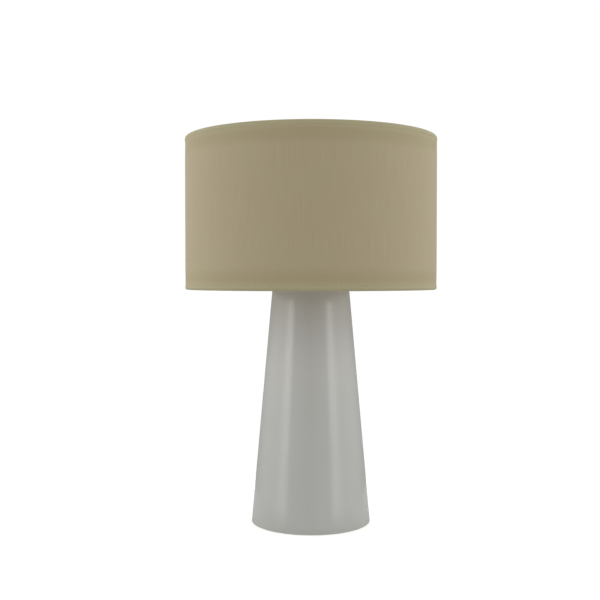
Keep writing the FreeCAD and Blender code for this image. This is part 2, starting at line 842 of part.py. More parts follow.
def shade_hem(edge, inward):
    """The strip of cloth folded over a hoop. inward is the direction into the shade."""
    sheet = FABRIC
    outline = [
        (SHADE_RADIUS, edge + inward * HEM),
        (SHADE_RADIUS, edge, 1.2),
        (HEM_INSIDE - sheet, edge, 1.2),
        (HEM_INSIDE - sheet, edge + inward * HEM_INNER),
        (HEM_INSIDE, edge + inward * HEM_INNER),
        (HEM_INSIDE, edge + inward * sheet, 0.4),
        (LINER_OUTER, edge + inward * sheet),
        (LINER_OUTER, edge + inward * HEM),
    ]
    return lathe(outline)


def spider_arms():
    """Three wires from the washer out to the top hoop, bent up just short of it."""
    washer_centre = SPIDER_BOTTOM + SPIDER_WASHER / 2
    ring_height = SHADE_TOP - RING_INSET
    reach = Part.makeCylinder(SPIDER_WASHER_RADIUS, 20, Vector(0, 0, washer_centre - 10))
    hoop = shade_ring(ring_height)
    arm = sweep(
        WIRE_RADIUS,
        [
            (Vector(SPIDER_WASHER_RADIUS - 3, 0, washer_centre), 0),
            (Vector(RING_RADIUS - 34, 0, washer_centre), 14),
            (Vector(RING_RADIUS - 16, 0, ring_height), 14),
            (Vector(RING_RADIUS, 0, ring_height), 0),
        ],
    )
    arm = arm.cut([reach, hoop])
    arm = max(arm.Solids, key=lambda solid: solid.Volume)
    return Part.makeCompound([turned(arm, angle) for angle in ARM_ANGLES])


def spider_washer():
    return lathe(
        [
            (SPIDER_HOLE, SPIDER_BOTTOM),
            (SPIDER_WASHER_RADIUS, SPIDER_BOTTOM),
            (SPIDER_WASHER_RADIUS, SPIDER_BOTTOM + SPIDER_WASHER),
            (SPIDER_HOLE, SPIDER_BOTTOM + SPIDER_WASHER),
        ]
    )


# The finial


def finial_washer():
    low = FINIAL_WASHER_BOTTOM
    return tube(6.0, STUD_RADIUS + 0.3, low, low + FINIAL_WASHER)


def finial():
    """The turned knob on the harp's stud, with a knurled skirt under a ball."""
    bore = STUD_RADIUS + 0.3
    bore_top = HARP_TOP + STUD_LENGTH + 1.0
    skirt = 7.5
    skirt_top = FINIAL_BOTTOM + 7.0
    ball = skirt_top + 3.0 + math.sqrt(FINIAL_BALL**2 - 4.5**2)
    turned_body = lathe(
        [
            (bore, FINIAL_BOTTOM),
            (skirt, FINIAL_BOTTOM, 0.6),
            (skirt, skirt_top, 0.8),
            (4.5, skirt_top + 1.0, 0.6),
            (4.5, ball),
            (0, ball),
            (0, bore_top),
            (bore, bore_top),
        ]
    )
    notches = []
    for k in range(24):
        notch = rod(
            0.45,
            Vector(skirt + 0.15, 0, FINIAL_BOTTOM + 1.4),
            Vector(skirt + 0.15, 0, skirt_top - 1.4),
        )
        notches.append(turned(notch, 15.0 * k))
    sphere = Part.makeSphere(FINIAL_BALL, Vector(0, 0, ball))
    hole = rod(bore, Vector(0, 0, FINIAL_BOTTOM - 1), Vector(0, 0, bore_top))
    return turned_body.fuse(sphere).cut(notches).cut(hole).removeSplitter()


def build():
    """Every piece of the lamp by name."""
    ceramic = ceramic_body()
    wire = harp_wire()
    arms = spider_arms()
    return {
        "felt_pad": felt_pad(),
        "bottom_plate": bottom_plate(),
        "bottom_washer": bottom_washer(),
        "bottom_nut": bottom_nut(),
        "lamp_tube": lamp_tube(),
        "ceramic_body": ceramic,
        "cord_bushing": cord_bushing(ceramic),
        "top_gasket": top_gasket(),
        "vase_cap": vase_cap(),
        "neck": neck(),
        "neck_nut": neck_nut(),
        "harp_saddle": harp_saddle(),
        "socket_cap": socket_cap(),
        "socket_set_screw": socket_set_screw(),
        "socket_shell": socket_shell(),
        "socket_insulator": socket_insulator(),
        "socket_body": socket_body(),
        "terminal_screws": terminal_screws(),
        "screw_shell": screw_shell(),
        "centre_contact": centre_contact(),
        "switch_rotor": switch_rotor(),
        "switch_shaft": switch_shaft(),
        "switch_knob": switch_knob(),
        "bulb_tip_contact": bulb_tip_contact(),
        "bulb_cap_insulator": bulb_cap_insulator(),
        "bulb_screw_cap": bulb_screw_cap(),
        "bulb_housing": bulb_housing(),
        "bulb_globe": bulb_globe(),
        "led_board": led_board(),
        "led_chips": led_chips(),
        "led_driver_board": led_driver_board(),
        "harp_wire": wire,
        "harp_crown": harp_crown(wire),
        "harp_ferrule_left": harp_ferrule(-1),
        "harp_ferrule_right": harp_ferrule(1),
        "shade_liner": shade_liner(),
        "shade_fabric": shade_fabric(),
        "shade_top_ring": shade_ring(SHADE_TOP - RING_INSET),
        "shade_bottom_ring": shade_ring(SHADE_BOTTOM + RING_INSET),
        "shade_top_hem": shade_hem(SHADE_TOP, -1).cut(arms),
        "shade_bottom_hem": shade_hem(SHADE_BOTTOM, 1),
        "spider_arms": arms,
        "spider_washer": spider_washer(),
        "finial_washer": finial_washer(),
        "finial": finial(),
    }


def export(pieces):
    """Writes one STEP file for each piece, after a check that its solids are sound."""
    os.makedirs("parts", exist_ok=True)
    for name, shape in pieces.items():
        solids = shape.Solids
        sound = bool(solids) and all(s.isValid() and s.isClosed() and s.Volume > 0 for s in solids)
        if not sound:
            raise ValueError(f"{name} is not made of closed solids")
        box = shape.BoundBox
        print(f"{name:20s} {len(solids)} solids  z {box.ZMin:7.2f} to {box.ZMax:7.2f}")
        shape.exportStep(f"parts/{name}.step")


export(build())
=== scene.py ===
import json
import math

import bpy
import numpy as np
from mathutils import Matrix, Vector


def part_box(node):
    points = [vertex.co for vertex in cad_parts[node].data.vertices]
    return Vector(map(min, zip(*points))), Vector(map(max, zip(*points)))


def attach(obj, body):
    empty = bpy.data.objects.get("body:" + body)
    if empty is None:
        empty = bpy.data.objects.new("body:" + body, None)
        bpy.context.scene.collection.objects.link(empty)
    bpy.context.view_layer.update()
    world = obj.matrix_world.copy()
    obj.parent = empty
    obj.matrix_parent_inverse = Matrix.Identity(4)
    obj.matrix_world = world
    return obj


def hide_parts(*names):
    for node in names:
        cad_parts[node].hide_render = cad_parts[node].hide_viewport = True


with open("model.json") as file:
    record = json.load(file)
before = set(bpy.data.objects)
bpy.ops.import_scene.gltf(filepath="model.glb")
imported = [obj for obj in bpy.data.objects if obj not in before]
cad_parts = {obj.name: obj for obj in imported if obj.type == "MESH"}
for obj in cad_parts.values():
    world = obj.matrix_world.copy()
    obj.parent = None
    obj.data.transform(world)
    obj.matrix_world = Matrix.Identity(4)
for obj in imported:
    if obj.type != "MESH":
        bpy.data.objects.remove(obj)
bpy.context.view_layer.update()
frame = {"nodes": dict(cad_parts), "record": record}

# The looks of the lamp: the studio and camera, the shade's cloth and hems, the felt, and a
# procedural material for every piece. Metres, in the frame of the CAD model.

MM = 0.001
NODES = frame["nodes"]

# The shade, where the CAD nodes have it
SHADE_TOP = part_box("shade_top_hem")[1].z
SHADE_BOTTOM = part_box("shade_bottom_hem")[0].z
SHADE_RADIUS = 200 * MM
LINER_RADIUS = SHADE_RADIUS - 0.8 * MM
ARM_ANGLES = (90, 210, 330)  # where the spider's arms reach the hoop

# Its cloth, laid round the liner and lapped at the back
CLOTH_THICKNESS = 0.34 * MM
CLOTH_EDGE = 2.2 * MM  # from the shade's edge to the cloth's, under the hem
SEAM_OVERLAP = 14 * MM

# The hems, rolled over the hoops
HEM_THICKNESS = 0.38 * MM
HEM_HEIGHT = SHADE_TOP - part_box("shade_fabric")[1].z  # how far the hem comes down outside
HEM_FLAP = 9 * MM  # how far the hem comes down inside
HEM_INSIDE = SHADE_RADIUS - 5.9 * MM  # radius of the hem's inner face
HEM_CORNER = 2.3 * MM
HEM_NOTCH = 2.6 * MM  # what is left of the flap over a spider arm
HEM_STEPS = 7  # points along each straight side of a hem's section

# The floor, open under the foot
FLOOR_RADIUS = 0.36
FLOOR_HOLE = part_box("ceramic_body")[1].x - 2 * MM

rng = np.random.default_rng(11)


# The studio

# The photograph's camera; the angles are in radians, to the right and up
CAMERA_PLACE = (0, -1.523, 0.3934)
CAMERA_YAW, CAMERA_PITCH = -0.0114, -0.0249
CAMERA_LENS, CAMERA_SENSOR = 56.91, 36.0


def make_camera():
    """The camera of the photograph: level with the top of the ceramic, looking very slightly down."""
    data = bpy.data.cameras.new("camera")
    data.lens = CAMERA_LENS
    data.sensor_width = CAMERA_SENSOR
    camera = bpy.data.objects.new("camera", data)
    bpy.context.scene.collection.objects.link(camera)
    camera.location = CAMERA_PLACE
    level = math.cos(CAMERA_PITCH)
    aim = Vector((math.sin(CAMERA_YAW) * level, math.cos(CAMERA_YAW) * level, math.sin(CAMERA_PITCH)))
    camera.rotation_mode = "QUATERNION"
    camera.rotation_quaternion = aim.to_track_quat("-Z", "Y")
    data.clip_start, data.clip_end = 0.05, 100
    bpy.context.scene.camera = camera


# The studio's radiance. Three rings of it are given by degrees round from the front: near the
# horizon, higher up, and below the horizon. High up and far below it is even.
BRIGHTEST = 3.5
LOW_LIGHT = (
    (0, 0.20),
    (24, 0.50),
    (42, 0.66),
    (50, 3.00),
    (60, 3.25),
    (68, 1.85),
    (80, 1.25),
    (102, 0.95),
    (125, 0.45),
    (150, 0.40),
    (180, 0.70),
)
MIDDLE_LIGHT = (
    (0, 1.10),
    (24, 0.90),
    (41, 0.95),
    (55, 1.30),
    (78, 2.10),
    (100, 2.60),
    (130, 2.30),
    (160, 1.20),
    (180, 1.00),
)
UNDER_LIGHT = ((0, 0.35), (40, 0.45), (70, 1.15), (125, 1.10), (150, 0.35), (180, 0.15))
HIGH_LIGHT = 0.42
DEEP_LIGHT = 1.2
LIGHT_TURN = 2.5  # degrees that the rings are turned to the left


def make_world():
    """A studio ring of light round the lamp, and plain white for what the camera sees past the lamp.

    The front is dim and the sides are bright, so the glaze shows a dark middle between two bands.
    """
    world = bpy.data.worlds.new("studio")
    bpy.context.scene.world = world
    world.use_nodes = True
    net = Net.of_tree(world.node_tree)
    towards = net.add("ShaderNodeTexCoord").outputs["Generated"]
    x, y, z = net.split(towards)
    azimuth = net.math("ARCTAN2", x, net.math("MULTIPLY", y, -1.0))
    turned = net.math("ABSOLUTE", net.math("ADD", azimuth, math.radians(LIGHT_TURN)))
    share = net.math("DIVIDE", turned, math.pi)
    rise = net.math("ARCSINE", z)

    def rising(low, high, most=1.0):
        """0 to most as the direction's rise goes from low to high degrees."""
        return net.levels(rise, math.radians(low), math.radians(high), 0.0, most, smooth=True)

    # from the horizon, which is dimmed at its foot, upwards, and then from the horizon downwards
    light = net.blend(rising(3.2, -1.2, 0.40), net.ramp(share, LOW_LIGHT), grey(0))
    light = net.blend(rising(13, 23), light, net.ramp(share, MIDDLE_LIGHT))
    light = net.blend(rising(36, 50), light, grey(HIGH_LIGHT / BRIGHTEST))
    light = net.blend(rising(-9, -18), light, net.ramp(share, UNDER_LIGHT))
    light = net.blend(rising(-48, -60), light, grey(DEEP_LIGHT / BRIGHTEST))
    side = net.levels(x, -1.0, 1.0, 1.03, 0.98)  # a little brighter from the left
    strength = net.math("MULTIPLY", side, BRIGHTEST)
    room = net.add("ShaderNodeBackground", {"Color": light, "Strength": strength})
    white = net.add("ShaderNodeBackground", {"Color": (1, 1, 1, 1), "Strength": 1.02})
    path = net.add("ShaderNodeLightPath")
    mix = net.add("ShaderNodeMixShader", {0: path.outputs["Is Camera Ray"]})
    net.join(room.outputs[0], mix.inputs[1])
    net.join(white.outputs[0], mix.inputs[2])
    out = net.add("ShaderNodeOutputWorld")
    net.join(mix.outputs[0], out.inputs["Surface"])


def make_floor():
    """A plain pale round table top, seen only from above, open under the foot so the felt gets light."""
    net = Net("floor")
    diffuse = net.add("ShaderNodeBsdfDiffuse", {"Color": (0.62, 0.62, 0.61, 1)})
    glow = net.add("ShaderNodeEmission", {"Color": (1, 1, 1, 1), "Strength": 0.6})
    path = net.add("ShaderNodeLightPath")
    side = net.add("ShaderNodeNewGeometry")
    clear = net.add("ShaderNodeBsdfTransparent")
    both = net.add("ShaderNodeAddShader")
    net.join(diffuse.outputs[0], both.inputs[0])
    net.join(glow.outputs[0], both.inputs[1])
    lit = net.add("ShaderNodeMixShader", {0: path.outputs["Is Camera Ray"]})
    net.join(diffuse.outputs[0], lit.inputs[1])
    net.join(both.outputs[0], lit.inputs[2])
    seen = net.add("ShaderNodeMixShader", {0: side.outputs["Backfacing"]})
    net.join(lit.outputs[0], seen.inputs[1])
    net.join(clear.outputs[0], seen.inputs[2])
    net.join(seen.outputs[0], net.out.inputs["Surface"])
    mesh = bpy.data.meshes.new("floor")
    count = 96
    points, faces = [], []
    for i in range(count):
        across = direction(2 * math.pi * i / count)
        j = (i + 1) % count
        points += [across * FLOOR_HOLE, across * FLOOR_RADIUS]
        faces.append((2 * i, 2 * i + 1, 2 * j + 1, 2 * j))
    mesh.from_pydata([tuple(p) for p in points], [], faces)
    mesh.materials.append(net.material)
    floor = bpy.data.objects.new("floor", mesh)
    floor.location.z = -0.0003
    bpy.context.scene.collection.objects.link(floor)


# Shader nodes


class Net:
    """A material and short calls that add and join its nodes."""

    def __init__(self, name):
        self.material = bpy.data.materials.new(name)
        self.material.use_nodes = True
        self.tree = self.material.node_tree
        self.shader = self.tree.nodes["Principled BSDF"]
        self.out = self.tree.nodes["Material Output"]

    @classmethod
    def of_tree(cls, tree):
        """The same calls for the node tree of a world."""
        net = cls.__new__(cls)
        net.tree = tree
        tree.nodes.clear()
        return net

    def join(self, source, target):
        self.tree.links.new(source, target)

    def feed(self, node, inputs):
        """Sets or joins a node's inputs."""
        for key, value in inputs.items():
            if isinstance(value, bpy.types.NodeSocket):
                self.join(value, node.inputs[key])
            else:
                node.inputs[key].default_value = value

    def add(self, kind, inputs=None, **settings):
        node = self.tree.nodes.new(kind)
        for key, value in settings.items():
            setattr(node, key, value)
        self.feed(node, inputs or {})
        return node

    def place(self):
        """The point on the piece, in metres in the lamp's frame."""
        return self.add("ShaderNodeTexCoord").outputs["Object"]

    def split(self, vector):
        return self.add("ShaderNodeSeparateXYZ", {0: vector}).outputs

    def vector(self, x, y, z=0.0):
        return self.add("ShaderNodeCombineXYZ", {0: x, 1: y, 2: z}).outputs[0]

    def stretch(self, vector, factors):
        return self.add("ShaderNodeVectorMath", {0: vector, 1: factors}, operation="MULTIPLY").outputs[0]

    def math(self, operation, *values):
        return self.add("ShaderNodeMath", dict(enumerate(values)), operation=operation).outputs[0]

    def noise(self, vector, scale, detail=2.0, roughness=0.5):
        inputs = {"Vector": vector, "Scale": scale, "Detail": detail, "Roughness": roughness}
        return self.add("ShaderNodeTexNoise", inputs).outputs[0]

    def levels(self, value, low, high, to_low=0.0, to_high=1.0, smooth=False):
        """value from low..high onto to_low..to_high, clamped."""
        kind = "SMOOTHSTEP" if smooth else "LINEAR"
        inputs = {0: value, 1: low, 2: high, 3: to_low, 4: to_high}
        return self.add("ShaderNodeMapRange", inputs, interpolation_type=kind).outputs[0]

    def ramp(self, value, stops):
        """Grey by value 0..1 along stops of (degrees out of 180, radiance)."""
        node = self.add("ShaderNodeValToRGB", {0: value})
        elements = node.color_ramp.elements
        while len(elements) < len(stops):
            elements.new(0.5)
        for element, (degrees, radiance) in zip(elements, stops):
            element.position = degrees / 180
        for element, (degrees, radiance) in zip(elements, stops):
            element.color = grey(radiance / BRIGHTEST)
        return node.outputs[0]

    def blend(self, factor, a, b, blend_type="MIX"):
        node = self.add("ShaderNodeMix", data_type="RGBA", blend_type=blend_type, clamp_factor=True)
        self.feed(node, {0: factor, 6: a, 7: b})
        return node.outputs[2]

    def bump(self, height, distance, strength=1.0, under=None):
        inputs = {"Height": height, "Distance": distance, "Strength": strength}
        if under is not None:
            inputs["Normal"] = under
        return self.add("ShaderNodeBump", inputs).outputs[0]


def rgb(red, green, blue):
    """A colour given as it is seen (sRGB, 0 to 255), as the linear values that a shader takes."""
    seen = (red, green, blue)
    linear = [((c / 255 + 0.055) / 1.055) ** 2.4 if c > 10 else c / 255 / 12.92 for c in seen]
    return (*linear, 1.0)


def grey(value):
    return (value, value, value, 1)


def scaled(colour, factor):
    return (*[min(1.0, c * factor) for c in colour[:3]], 1.0)


# Materials


def cloth_material():
    """Khaki dupion: a fine plain weave with thicker slubs up and down it."""
    net = Net("cloth")
    x, y, z = net.split(net.place())
    around = net.math("MULTIPLY", net.math("ARCTAN2", x, net.math("MULTIPLY", y, -1.0)), SHADE_RADIUS)
    flat = net.vector(around, z)
    colour = (0.391, 0.326, 0.201, 1.0)

    # long slubs in the upright yarns, fine ones in the level yarns, and a few strong single ones
    upright = net.noise(net.stretch(flat, (900.0, 22.0, 1.0)), 1.0, 3.0, 0.6)
    level = net.noise(net.stretch(flat, (30.0, 1100.0, 1.0)), 1.0, 2.0, 0.5)
    single = net.noise(net.stretch(flat, (420.0, 17.0, 1.0)), 1.0, 0.0)
    strong = net.levels(single, 0.70, 0.78)
    weak = net.levels(single, 0.30, 0.22)
    cloud = net.noise(flat, 9.0, 2.0)

    tone = net.blend(net.levels(upright, 0.3, 0.7), scaled(colour, 0.96), scaled(colour, 1.04))
    tone = net.blend(net.levels(level, 0.3, 0.7, 0.0, 0.35), tone, scaled(colour, 0.93))
    tone = net.blend(net.math("MULTIPLY", strong, 0.4), tone, scaled(colour, 1.15))
    tone = net.blend(net.math("MULTIPLY", weak, 0.4), tone, scaled(colour, 0.86))

    # painted shade: darker in a band 7 to 36 mm in from the top and bottom edges; the hems greener
    from_bottom = net.math("SUBTRACT", z, SHADE_BOTTOM)
    edge = net.math("MINIMUM", net.math("SUBTRACT", SHADE_TOP, z), from_bottom)
    painted_shade_band = net.math(
        "MULTIPLY",
        net.levels(edge, 7 * MM, 15 * MM, smooth=True),
        net.levels(edge, 36 * MM, 20 * MM, smooth=True),
    )
    tone = net.blend(net.levels(cloud, 0.3, 0.7, 0.0, 0.5), tone, (0.382, 0.331, 0.197, 1.0))
    tone = net.blend(net.math("MULTIPLY", painted_shade_band, 0.55), tone, (0.330, 0.274, 0.142, 1.0))
    hem = net.levels(edge, 9 * MM, 6 * MM, 0.0, 0.8, smooth=True)
    tone = net.blend(hem, tone, (0.380, 0.344, 0.198, 1.0))
    # painted shade on the underside of the lower roll: darker in the lowest 5 mm of the cloth
    under = net.levels(from_bottom, 5 * MM, 2 * MM, 0.0, 0.7, smooth=True)
    tone = net.blend(under, tone, (0.322, 0.300, 0.172, 1.0))

    # the weave: yarns 0.42 mm apart that pass over and under each other
    pitch = 0.42 * MM
    wave_u = net.math("SINE", net.math("MULTIPLY", around, 2 * math.pi / pitch))
    wave_v = net.math("SINE", net.math("MULTIPLY", z, 2 * math.pi / pitch))
    weave = net.levels(net.math("MULTIPLY", wave_u, wave_v), -1.0, 1.0)
    fine = net.bump(weave, 0.05 * MM, 0.5)
    relief = net.math("ADD", net.levels(upright, 0.3, 0.8), net.math("MULTIPLY", level, 0.4))
    relief = net.math("ADD", relief, net.math("MULTIPLY", strong, 1.6))
    normal = net.bump(relief, 0.05 * MM, 0.7, under=fine)

    net.feed(net.shader, {"Base Color": tone, "Normal": normal, "Roughness": 0.68})
    net.feed(net.shader, {"Specular IOR Level": 0.5, "Sheen Weight": 0.3, "Sheen Roughness": 0.4})
    net.shader.inputs["Sheen Tint"].default_value = rgb(235, 228, 205)
    return net.material


def glaze_material():
    """Pale grey glaze, glossy and a little uneven, with a bare ring where the foot was wiped."""
    net = Net("glaze")
    place = net.place()
    z = net.split(place)[2]
    colour = (0.487, 0.487, 0.463, 1.0)
    cloud = net.noise(place, 7.0, 3.0)
    specks = net.levels(net.noise(place, 620.0, 1.0), 0.74, 0.80)
    tone = net.blend(net.levels(cloud, 0.35, 0.65), scaled(colour, 0.985), scaled(colour, 1.015))
    tone = net.blend(net.math("MULTIPLY", specks, 0.22), tone, rgb(150, 146, 136))
    # a little darker in the lowest 14 mm, towards the foot
    darker_towards_foot = net.levels(z, 14 * MM, 2 * MM, 0.0, 0.25, smooth=True)
    tone = net.blend(darker_towards_foot, tone, rgb(176, 176, 168))
    bare = net.levels(z, 1.5 * MM, 1.2 * MM)
    grain = net.noise(place, 900.0, 3.0)
    clay = net.blend(grain, rgb(214, 204, 186), rgb(196, 184, 164))
    tone = net.blend(bare, tone, clay)
    rough = net.levels(net.noise(place, 30.0, 2.0), 0.3, 0.7, 0.13, 0.18)
    rough = net.math("MAXIMUM", rough, net.math("MULTIPLY", bare, 0.8))
    waves = net.noise(place, 22.0, 1.0)
    peel = net.noise(place, 240.0, 1.0)
    normal = net.bump(waves, 0.10 * MM, 0.5)
    normal = net.bump(peel, 0.004 * MM, 0.6, under=normal)
    net.feed(net.shader, {"Base Color": tone, "Roughness": rough, "Normal": normal, "IOR": 1.5})
    return net.material


def metal_material(name, colour, roughness, brushed=(1.0, 1.0, 1.0), scratch=0.5):
    """A plated metal: a fine brushed or tumbled grain, uneven gloss and a little tarnish."""
    net = Net(name)
    place = net.place()
    grain = net.noise(net.stretch(place, brushed), 2600.0, 2.0, 0.6)
    cloud = net.noise(place, 90.0, 3.0)
    tone = net.blend(net.levels(grain, 0.3, 0.7), scaled(colour, 0.92), scaled(colour, 1.05))
    tone = net.blend(net.levels(cloud, 0.45, 0.75, 0.0, 0.35), tone, scaled(colour, 0.82))
    worn = net.levels(cloud, 0.3, 0.7, roughness, roughness + 0.1)
    rough = net.math("ADD", net.levels(grain, 0.3, 0.7, -0.06, 0.06), worn)
    normal = net.bump(grain, 0.012 * MM, scratch)
    net.feed(net.shader, {"Base Color": tone, "Roughness": rough, "Normal": normal, "Metallic": 1.0})
    return net.material


def plastic_material(name, colour, roughness, grain_scale=1500.0, grain_depth=0.01, mottle=0.05):
    """A moulded plastic with a fine grain and slightly uneven gloss."""
    net = Net(name)
    place = net.place()
    grain = net.noise(place, grain_scale, 2.0)
    cloud = net.noise(place, 60.0, 3.0)
    dark, light = scaled(colour, 1.0 - mottle), scaled(colour, 1.0 + mottle)
    tone = net.blend(net.levels(cloud, 0.3, 0.7), dark, light)
    rough = net.levels(cloud, 0.3, 0.7, roughness - 0.04, roughness + 0.06)
    normal = net.bump(grain, grain_depth * MM, 0.6)
    net.feed(net.shader, {"Base Color": tone, "Roughness": rough, "Normal": normal})
    return net.material


def liner_material():
    """Warm white styrene sheet with a faint level grain from its roller."""
    net = Net("liner")
    place = net.place()
    rolled = net.noise(net.stretch(place, (20.0, 20.0, 420.0)), 1.0, 2.0)
    cloud = net.noise(place, 11.0, 3.0)
    tone = net.blend(net.levels(cloud, 0.3, 0.7), rgb(222, 204, 166), rgb(229, 212, 178))
    tone = net.blend(net.levels(rolled, 0.4, 0.7, 0.0, 0.3), tone, rgb(215, 197, 159))
    rough = net.levels(rolled, 0.3, 0.7, 0.42, 0.52)
    normal = net.bump(rolled, 0.02 * MM, 0.5)
    net.feed(net.shader, {"Base Color": tone, "Roughness": rough, "Normal": normal})
    return net.material


def felt_material():
    """Dark pressed felt: short fibres that lie every way."""
    net = Net("felt")
    place = net.place()
    warp = net.add("ShaderNodeTexNoise", {"Vector": place, "Scale": 300.0, "Detail": 2.0}).outputs[1]
    shift = net.stretch(warp, (0.004, 0.004, 0.004))
    bent = net.add("ShaderNodeVectorMath", {0: place, 1: shift}, operation="ADD").outputs[0]
    fibres = net.noise(bent, 900.0, 5.0, 0.75)
    cloud = net.noise(place, 90.0, 4.0, 0.65)
    lint = net.levels(net.noise(net.stretch(bent, (1.0, 0.12, 1.0)), 520.0, 1.0), 0.66, 0.70)
    tone = net.blend(net.levels(fibres, 0.35, 0.65), rgb(26, 27, 30), rgb(78, 79, 83))
    tone = net.blend(net.levels(cloud, 0.35, 0.65, 0.0, 0.7), tone, rgb(36, 37, 41))
    tone = net.blend(net.math("MULTIPLY", lint, 0.6), tone, rgb(128, 128, 130))
    normal = net.bump(fibres, 0.25 * MM, 0.8)
    net.feed(net.shader, {"Base Color": tone, "Normal": normal, "Roughness": 0.95})
    net.feed(net.shader, {"Specular IOR Level": 0.1, "Sheen Weight": 0.5, "Sheen Roughness": 0.6})
    return net.material


def fibre_material():
    """Brown insulating fibre paper."""
    net = Net("fibre")
    place = net.place()
    grain = net.noise(net.stretch(place, (1.0, 1.0, 0.15)), 1800.0, 3.0, 0.6)
    tone = net.blend(net.levels(grain, 0.3, 0.7), rgb(116, 86, 58), rgb(150, 116, 82))
    normal = net.bump(grain, 0.03 * MM, 0.6)
    net.feed(net.shader, {"Base Color": tone, "Roughness": 0.85, "Normal": normal})
    return net.material


def opal_material():
    """Frosted opal: white and soft, with a little light inside it."""
    net = Net("bulb_opal")
    place = net.place()
    frost = net.noise(place, 2200.0, 2.0)
    cloud = net.noise(place, 25.0, 2.0)
    tone = net.blend(net.levels(cloud, 0.3, 0.7), rgb(240, 239, 233), rgb(246, 245, 240))
    rough = net.levels(cloud, 0.3, 0.7, 0.34, 0.42)
    normal = net.bump(frost, 0.006 * MM, 0.5)
    net.feed(net.shader, {"Base Color": tone, "Roughness": rough, "Normal": normal})
    net.feed(net.shader, {"Subsurface Weight": 0.35, "Subsurface Scale": 4 * MM})
    net.feed(net.shader, {"Subsurface Radius": (1, 1, 1)})
    return net.material


def board_material(name, mask, track):
    """A circuit board: solder mask over copper tracks that show through as faint relief."""
    net = Net(name)
    place = net.place()
    grid = {"Vector": place, "Scale": 420.0}
    cells = net.add("ShaderNodeTexVoronoi", grid, distance="MANHATTAN", feature="F2").outputs[0]
    lines = net.levels(cells, 0.55, 0.62)
    tone = net.blend(lines, mask, track)
    normal = net.bump(lines, 0.03 * MM, 0.5)
    net.feed(net.shader, {"Base Color": tone, "Roughness": 0.35, "Normal": normal})
    return net.material


def make_materials():
    """Every material slot of the record by name."""
    nickel = rgb(196, 190, 180)
    turned_grain = (1.0, 1.0, 0.06)
    return {
        "cloth": cloth_material(),
        "glaze": glaze_material(),
        "liner": liner_material(),
        "felt": felt_material(),
        "fibre": fibre_material(),
        "bulb_opal": opal_material(),
        "nickel": metal_material("nickel", nickel, 0.26),
        "shell": metal_material("shell", nickel, 0.22, brushed=turned_grain),
        "zinc": metal_material("zinc", rgb(176, 178, 176), 0.34),
        "brass": metal_material("brass", rgb(206, 170, 104), 0.25),
        "cap_metal": metal_material("cap_metal", rgb(205, 206, 208), 0.28),
        "bushing": plastic_material("bushing", rgb(222, 220, 212), 0.42),
        "gasket": plastic_material("gasket", rgb(44, 44, 44), 0.85, 700.0, 0.06, mottle=0.12),
        "phenolic": plastic_material("phenolic", rgb(48, 42, 38), 0.38, 900.0, 0.012, mottle=0.10),
        "knob": plastic_material("knob", rgb(34, 34, 34), 0.40, 1300.0, 0.02),
        "bulb_black": plastic_material("bulb_black", rgb(30, 30, 34), 0.18, 900.0, 0.004),
        "bulb_white": plastic_material("bulb_white", rgb(232, 232, 228), 0.32),
        "led": plastic_material("led", rgb(236, 204, 84), 0.45, 2500.0, 0.01, mottle=0.08),
        "white_wire": plastic_material("white_wire", rgb(226, 224, 216), 0.36, 1700.0, 0.02),
        "board_white": board_material("board_white", rgb(236, 236, 232), rgb(214, 214, 208)),
        "board_green": board_material("board_green", rgb(22, 92, 52), rgb(58, 128, 78)),
    }


def dress_nodes(materials):
    """Gives each CAD node the material of its slot."""
    for entry in frame["record"]["subparts"]:
        node = NODES[entry["node"]]
        node.data.materials.clear()
        node.data.materials.append(materials[entry["material_slot"]])


# Mesh pieces


def new_piece(name, vertices, faces, material, body):
    """A smooth-shaded piece that rides on a body."""
    mesh = bpy.data.meshes.new(name)
    mesh.from_pydata([tuple(v) for v in vertices], [], faces)
    mesh.update()
    mesh.shade_smooth()
    mesh.materials.append(material)
    piece = bpy.data.objects.new(name, mesh)
    bpy.context.scene.collection.objects.link(piece)
    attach(piece, body)
    return piece


def skin(rows):
    """Faces of a strip whose every row is a closed loop of vertex indices, with both ends capped."""
    faces = []
    for a, b in zip(rows[:-1], rows[1:]):
        count = len(a)
        for i in range(count):
            j = (i + 1) % count
            faces.append((a[i], a[j], b[j], b[i]))
    faces.append(tuple(reversed(rows[0])))
    faces.append(tuple(rows[-1]))
    return faces


def smoothstep(value, low, high):
    t = min(1.0, max(0.0, (value - low) / (high - low)))
    return t * t * (3 - 2 * t)


def waviness(angle, seed_phases, size):
    """A slow ripple round the shade: sines of the given (count, phase), the first about size high."""
    return size * sum(math.sin(k * angle + p) / k for k, p in seed_phases)


RIPPLES = [(k, rng.uniform(0, 2 * math.pi)) for k in (3, 5, 8, 13)]
HEM_RIPPLES = [(k, rng.uniform(0, 2 * math.pi)) for k in (7, 11, 17, 29)]

# A strip starts at the back and goes once round and over its own start; in radians
OVERLAP = SEAM_OVERLAP / SHADE_RADIUS
SEAM_START = math.pi - OVERLAP / 2
TURN = 2 * math.pi + OVERLAP


def direction(angle):
    """The outward direction at an angle round the shade, from the front, to the right."""
    return Vector((math.sin(angle), -math.cos(angle), 0))


def stations():
    """How far round from the seam, in radians, each cross-section is: closer at the seam and the arms."""
    close = 0.6 * MM / SHADE_RADIUS
    steps = set(np.linspace(0, TURN, 361))
    for start in (0.0, TURN - OVERLAP * 1.6):
        steps.update(np.arange(start, min(start + OVERLAP * 1.6, TURN), close * 1.5))
    for arm in ARM_ANGLES:
        middle = (math.radians(arm) + math.pi / 2 - SEAM_START) % (2 * math.pi)
        steps.update(middle + np.arange(-8, 8.5) * close)
    steps = sorted(s for s in steps if 0 <= s <= TURN)
    kept = [steps[0]]
    for s in steps[1:]:
        if s - kept[-1] > close * 0.4:
            kept.append(s)
    kept[-1] = TURN
    return kept


def lap(turn, thickness):
    """How far the cloth stands off where its folded end laps over its start."""
    over = smoothstep(turn, TURN - OVERLAP * 1.45, TURN - OVERLAP * 1.02)
    return over * (thickness + 0.06 * MM)


